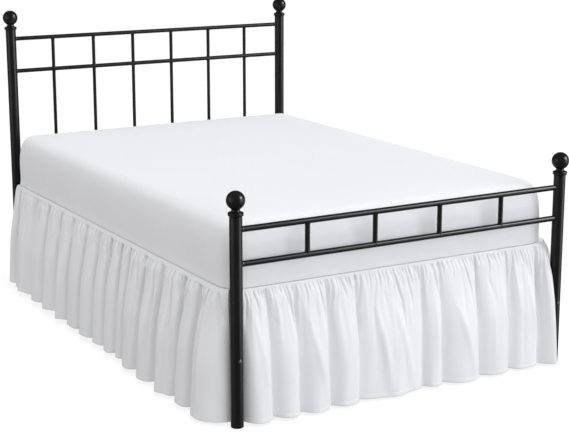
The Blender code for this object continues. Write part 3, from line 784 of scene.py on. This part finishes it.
surfaceLook = {
    "early": 0.26, "earlyDrops": (0.004, 0.045), "late": 0.74, "lateFrom": 0.01, "lateShare": 0.60,
    "easeColumns": 6, "easeWidth": 2.0, "rippleDrops": (0.05, 0.3),
    "fineWave": 0.028, "fineSlant": 0.03, "patches": 0.4, "fineEnd": 0.06, "fineFade": (0.10, 0.26),
    "broad": 1.6, "broadWave": 0.075, "broadSlant": 0.10, "broadDrops": (0.06, 0.35),
    "puff": 0.0006, "seamGroove": 0.0007, "seamWidth": 0.0016, "hemGroove": 0.0010, "hemWidth": 0.0011,
    "hemWaveLength": 0.21, "lowest": 0.0115,
}


def rufflePoints(seam, length, firstEdge, lastEdge, reaches, rise, small, folds, creases, skew, seed):
    # A panel's points, drop by along. From the seam the cloth rolls over a shoulder, flares, and
    # each fold stands out by depth * bulge * grown(drop), where bulge is 0.3 sin(pi phase) + 0.7
    # (2 sin - sin^2); both ends meet their edges.
    look, fine = skirtLook, surfaceLook
    along = np.linspace(0, length, look["columns"])[None, :]
    drop = rowDrops[:, None]
    widths, depths, leans, ripples = (np.array(folds) / (1000, 1000, 1000, 1)).T
    widths = widths * length / widths.sum()
    starts = np.concatenate([[0], np.cumsum(widths)])
    which = np.clip(np.searchsorted(starts, along[0], side="right") - 1, 0, len(folds) - 1)
    phase = (along[0] - starts[which]) / widths[which]
    depth, ripples = depths[which], ripples[which]
    lean = np.interp(along[0], (starts[1:] + starts[:-1]) / 2, leans)
    sine = np.sin(math.pi * phase)
    bulge = 0.3 * sine + 0.7 * (2 * sine - sine ** 2)
    header = small["header"]
    near = fine["easeColumns"]
    ease = np.exp(-0.5 * (np.arange(-near, near + 1) / fine["easeWidth"]) ** 2)
    eased = np.convolve(np.pad(depth * bulge, near, mode="edge"), ease / ease.sum(), mode="valid")
    soft = np.where(ripples > 0, look["ripple"] * np.cos(2 * math.pi * phase * ripples) * sine, 0)
    low = drop / look["drop"]
    late = smoothStep(drop, fine["lateFrom"], fine["lateShare"] * look["drop"])
    grown = fine["early"] * smoothStep(drop, *fine["earlyDrops"]) + fine["late"] * late
    shoulder = look["shoulderOut"] * (1 - np.exp(-drop / look["shoulderDrop"]))
    out = look["seamGap"] + shoulder + look["flare"] * low
    out = out + eased * grown + soft * smoothStep(drop, *fine["rippleDrops"])
    out = out + gathers(along, drop, starts[1:-1], length, small, seed)
    out = out + creaseRelief(along, drop, creases)
    patches = 0.5 + 0.5 * softNoise(along, fine["patches"], seed + 2)
    close = softNoise(along + fine["fineSlant"] * drop, fine["fineWave"], seed + 1) * patches
    close = close * smoothStep(drop, header, fine["fineEnd"])
    close = close * (1 - 0.8 * smoothStep(drop, *fine["fineFade"]))
    broad = softNoise(along + fine["broadSlant"] * drop, fine["broadWave"], seed + 3)
    broad = broad * smoothStep(drop, *fine["broadDrops"])
    out = out + look["wrinkle"] * (close + fine["broad"] * broad)
    out = out + fine["puff"] * bump(drop, 0.55 * header, 0.3 * header)
    out = out - fine["seamGroove"] * bump(drop, header, fine["seamWidth"])
    out = out - fine["hemGroove"] * bump(drop, look["drop"] - look["hemStitch"], fine["hemWidth"])
    place, outward = seam(along[0])
    way = np.stack([-outward[:, 1], outward[:, 0]], axis=-1)
    plan = place[None] + outward[None] * out[..., None]
    side = lean * low + skew * eased * grown
    plan = plan + way[None] * side[..., None]
    atFirst = 1 - smoothStep(along[0], 0, reaches[0])
    atLast = smoothStep(along[0], length - reaches[1], length)
    for edge, weight, end in ((firstEdge, atFirst, 0), (lastEdge, atLast, -1)):
        edge = np.array(edge)
        target = np.stack([np.interp(rowDrops, edgeDrops, edge[:, axis]) for axis in (0, 1)], axis=-1)
        plan = plan + (target - plan[:, end])[:, None, :] * weight[None, :, None]
    height = look["level"] - drop + rise * (1 - along / length) * low
    height = height + look["hemWave"] * softNoise(along, fine["hemWaveLength"], seed + 4) * low ** 3
    return np.concatenate([plan, np.maximum(height, fine["lowest"])[..., None]], axis=-1)


def runAlong(line):
    # The length of a line of points up to each of them.
    return np.concatenate([[0], np.cumsum(np.linalg.norm(np.diff(line, axis=0), axis=1))])


def clothUv(points):
    # The panel laid out flat: run along it at mid height, and down it, in metres.
    run = runAlong(points[len(points) // 2])
    return np.stack(np.broadcast_arrays(run[None, :], rowDrops[:, None]), axis=-1)


stitchLook = {"long": 0.0030, "pitch": 0.0050, "radius": 0.00028, "proud": 0.00012, "dip": 0.0006,
              "sides": 6, "firstGap": 0.006, "lastGap": 0.008}


def stitchRow(points, level, flip, thick):
    # Dashes of thread on the outside of the panel, at one level: short six-sided pieces laid
    # along the surface, their middles set out of it by half the cloth.
    look = stitchLook
    sides, rings = look["sides"], 4
    line = points[level]
    tangent = np.gradient(line, axis=0)
    tangent /= np.linalg.norm(tangent, axis=1, keepdims=True)
    out = np.cross(points[level + 1] - points[level - 1], tangent)
    out *= flip / np.linalg.norm(out, axis=1, keepdims=True)
    run = runAlong(line)
    starts = np.arange(look["firstGap"], run[-1] - look["lastGap"], look["pitch"])
    at = starts[:, None] + look["long"] * np.linspace(0, 1, rings)
    spine, side, up = (
        np.stack([np.interp(at, run, values[:, axis]) for axis in range(3)], axis=-1)
        for values in (line, tangent, out))
    across = np.cross(up, side)
    arch = np.array([-look["dip"], 0.0, 0.0, -look["dip"]])[None, :, None]
    spine = spine + up * (thick / 2 + look["proud"] + arch)
    angle = np.linspace(0, 2 * math.pi, sides, endpoint=False)
    slim = look["radius"] * np.array([0.5, 1.0, 1.0, 0.5])
    ring = np.cos(angle)[:, None] * up[:, :, None, :] + np.sin(angle)[:, None] * across[:, :, None, :]
    corners = spine[:, :, None, :] + slim[None, :, None, None] * ring
    base = (np.arange(len(starts)) * rings * sides)[:, None, None]
    quads = gridQuads(rings, sides, True)[None] + base
    caps = np.stack([np.arange(sides)[::-1], np.arange((rings - 1) * sides, rings * sides)])[None] + base
    return corners.reshape(-1, 3), quads.reshape(-1, 4).tolist() + caps.reshape(-1, sides).tolist()


def thicken(piece, thickness):
    # A sheet with half of its thickness on each side of its surface.
    wall = piece.modifiers.new("cloth", "SOLIDIFY")
    wall.thickness = thickness
    wall.offset = 0
    return wall


def makeRuffle(name, points, header, flip, node):
    # The sheet with its hem, thicker where it is turned up, and two rows of stitches. A flip of
    # -1 turns a panel made for the left side into one for the right.
    look = skirtLook
    if flip < 0:
        points = points * (-1, 1, 1)
    piece = addPiece(name, gridMesh(name, points, clothUv(points)), skirtCotton, [node])
    group = piece.vertex_groups.new(name="hem")
    start, end = (look["drop"] - look["hem"] + past for past in look["hemStep"])
    doubled = smoothStep(np.repeat(rowDrops, points.shape[1]), start, end)
    for level in np.unique(doubled):
        group.add(np.flatnonzero(doubled == level).tolist(), float(level), "REPLACE")
    wall = thicken(piece, look["hemCloth"])
    wall.use_even_offset = False
    wall.vertex_group = "hem"
    wall.thickness_vertex_group = look["cloth"] / look["hemCloth"]
    rows = []
    for level, thick in ((look["drop"] - look["hemStitch"], look["hemCloth"]), (header, look["cloth"])):
        rows.append(stitchRow(points, int(np.abs(rowDrops - level).argmin()), flip, thick))
    count = len(rows[0][0])
    stitches = bpy.data.meshes.new(name + "_stitches")
    stitches.from_pydata(np.concatenate([rows[0][0], rows[1][0]]).tolist(), [],
                         rows[0][1] + [[corner + count for corner in face] for face in rows[1][1]])
    stitches.shade_smooth()
    stitching = addPiece(name + "_stitches", stitches, thread)


def makeDeck():
    # The platform cloth, flat on the box spring under the mattress, as rings about its middle.
    look = skirtLook
    low, high, middle = boxMiddle("deck")
    centre = middle[:2]
    outline = centre + roundedOutline((high[0] - low[0]) / 2, (high[1] - low[1]) / 2,
                                      look["deckCorner"], look["corner"], look["corner"], 14, 60)
    level = np.full(len(outline), look["level"])
    rings = [np.column_stack([centre + (outline - centre) * share, level])
             for share in look["deckRings"]]
    mesh = gridMesh("deck_cloth", np.array(rings), closed=True, merge=True)
    deck = addPiece("deck_cloth", mesh, skirtCotton, ["deck"])
    thicken(deck, look["cloth"])


def makeSkirt():
    # The three ruffles. Both sides are made on the left seam, and the right one is mirrored.
    look = skirtLook
    arcLength = (0.25 * math.pi - look["split"]) * look["corner"]
    sideLength = look["headY"] - look["footY"] - look["corner"] + arcLength
    footLength = 2 * (look["halfX"] - look["corner"]) + 2 * arcLength
    side = (sideSeam, sideLength, sideHeadEdge, sideFootEdge, look["sideReach"], look["hemRise"],
            sideGathers)
    left = rufflePoints(*side, leftFolds, leftCreases, 0.28, 21)
    right = rufflePoints(*side, rightFolds, rightCreases, 0.12, 43)
    foot = rufflePoints(footSeam, footLength, footLeftEdge, footRightEdge, look["footReach"], 0.0,
                        footGathers, footFolds, footCreases, 0.16, 65)
    makeRuffle("left_ruffle", left, sideGathers["header"], 1, "ruffle_left")
    makeRuffle("right_ruffle", right, sideGathers["header"], -1, "ruffle_right")
    makeRuffle("foot_ruffle", foot, footGathers["header"], 1, "ruffle_foot")


makeDeck()
makeSkirt()
print("bed skirt made")


studioLook = {
    "sky": 1.0, "fill": 0.45, "cool": (0.965, 0.980, 1.0),
    "shine": 0.12, "shines": (
        ((0.766, -0.643, 0), 5.0, 16.0), ((-1.0, 0, 0), 0.8, 5.0), ((0.68, -0.56, 0.47), 42.0, 60.0)),
    "top": 1.54, "topSoftness": 50.0, "topFrom": (0.12, -0.22, 1.0),
}

# Each panel's power, size, place and target
panelLook = {
    "strip": (174.0, (2.8, 4.2), (5.60, -6.60, 3.70), (0.0, -1.05, 0.45)),
    "side": (73.0, (5.0, 4.0), (-6.00, -0.10, 2.00), (-0.7, -0.2, 0.3)),
    "front": (152.0, (7.0, 3.0), (0.60, -8.00, 1.80), (0.0, -1.05, 0.45)),
}


def lightAt(name, kind, place, target):
    # A lamp that looks from its place at a target.
    light = bpy.data.lights.new(name, kind)
    lamp = bpy.data.objects.new(name, light)
    lamp.location = place
    away = np.array(place) - np.array(target)
    lamp.rotation_euler = Euler((
        math.acos(away[2] / np.linalg.norm(away)), 0, math.atan2(away[0], -away[1])))
    bpy.context.scene.collection.objects.link(lamp)
    return lamp


def lightStudio():
    # White surroundings, dimmer as light than they look, a broad light from above, an upright
    # panel at the right front, which models the folds, and wide ones at the left and the front.
    # What shines on the metal: a low level plus strength * cos(angle from each direction)^narrow.
    world = bpy.data.worlds.new("studio")
    bpy.context.scene.world = world
    world.use_nodes = True
    sky = Nodes(world.node_tree)
    way = sky.node("ShaderNodeTexCoord", out="Generated")
    mirrored = studioLook["shine"]
    for towards, strength, narrow in studioLook["shines"]:
        facing = sky.node(
            "ShaderNodeVectorMath", {"operation": "DOT_PRODUCT"}, {0: way, 1: towards}, "Value")
        mirrored = mirrored + strength * facing.above() ** narrow
    isSeen = sky.node("ShaderNodeLightPath", out="Is Camera Ray")
    isGlossy = sky.node("ShaderNodeLightPath", out="Is Glossy Ray")
    strength = isSeen * studioLook["sky"] + (1 - isSeen) * (
        isGlossy * mirrored + (1 - isGlossy) * studioLook["fill"])
    background = world.node_tree.nodes["Background"]
    world.node_tree.links.new(strength.socket, background.inputs["Strength"])
    background.inputs["Color"].default_value = (1, 1, 1, 1)
    top = lightAt("top", "SUN", studioLook["topFrom"], (0, 0, 0))
    top.data.energy = studioLook["top"]
    top.data.angle = math.radians(studioLook["topSoftness"])
    lamps = {"top": top}
    for name, (power, size, place, target) in panelLook.items():
        panel = lamps[name] = lightAt(name, "AREA", place, target)
        panel.data.energy = power
        panel.data.shape = "RECTANGLE"
        panel.data.size, panel.data.size_y = size
    for name in ("top", "strip", "front"):
        lamps[name].data.color = studioLook["cool"]
    for name in ("top", "front"):
        lamps[name].visible_glossy = False  # only the strip and the side panel shine on the metal
    bpy.context.scene.view_settings.view_transform = "Standard"


floorLook = {"half": 9.0, "level": -0.0005, "colour": (0.25, 0.25, 0.25), "glow": 0.80,
             "roughness": 0.9, "gloss": 0.1}


def layFloor():
    # A pale glowing floor, bright to look at, that lights neither the cloth nor the metal.
    look = floorLook
    ends = (-look["half"], look["half"])
    mesh = gridMesh("floor", np.array([[(x, y, look["level"]) for x in ends] for y in ends]))
    floor = bpy.data.objects.new("floor", mesh)
    finish = Finish("pale_floor", look["colour"], look["roughness"])
    finish.set("Emission Color", (1, 1, 1, 1))
    finish.set("Emission Strength", look["glow"])
    finish.set("Specular IOR Level", look["gloss"])
    mesh.materials.append(finish.material)
    bpy.context.scene.collection.objects.link(floor)
    floor.visible_diffuse = False
    floor.visible_glossy = False


cameraLook = {"sensor": 36.0, "pixels": 569, "focalPixels": 1452, "place": (-2.881, -5.175, 1.819),
              "tilt": 76.90, "turn": -30.01}


def placeCamera():
    # A camera whose focal length is given in pixels of a picture of that width.
    look = cameraLook
    view = bpy.data.cameras.new("camera")
    view.sensor_width = look["sensor"]
    view.lens = look["focalPixels"] / look["pixels"] * look["sensor"]
    camera = bpy.data.objects.new("camera", view)
    camera.location = look["place"]
    camera.rotation_euler = Euler((math.radians(look["tilt"]), 0, math.radians(look["turn"])))
    bpy.context.scene.collection.objects.link(camera)
    bpy.context.scene.camera = camera


lightStudio()
layFloor()
placeCamera()
print("studio ready")
